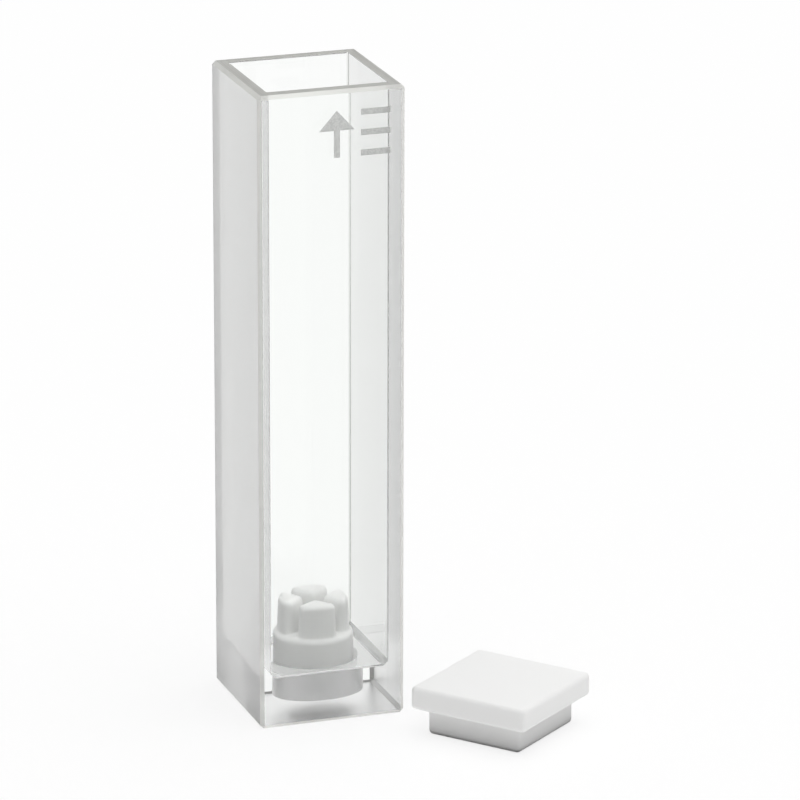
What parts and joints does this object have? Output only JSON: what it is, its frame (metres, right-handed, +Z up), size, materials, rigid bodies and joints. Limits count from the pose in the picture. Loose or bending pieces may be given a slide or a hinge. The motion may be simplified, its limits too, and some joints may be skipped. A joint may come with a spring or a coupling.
{
  "type": "spectroscopy cuvette with stirrer and lid",
  "caption": "Tall square fused-quartz cuvette with ground side walls, clear windows, a round stirring well in its base, a PTFE vane stirrer and a square PTFE push-in lid lying beside it.",
  "frame": {"origin": "centre of the cell's outer bottom face", "axes": "+Z up along the cell, +Y through the two clear windows (the marked window faces -Y), +X across the two ground side walls"},
  "size_m": [0.0264, 0.026, 0.054],
  "materials": {
    "quartz": "polished fused quartz windows, with ground side walls, rim, bevels and bottom",
    "stirrer_ptfe": "white moulded PTFE, satin",
    "lid_ptfe": "white moulded PTFE, satin"
  },
  "bodies": {
    "root": {"cell_body": "quartz", "stirrer": "stirrer_ptfe", "lid": "lid_ptfe"}
  },
  "joints": []
}
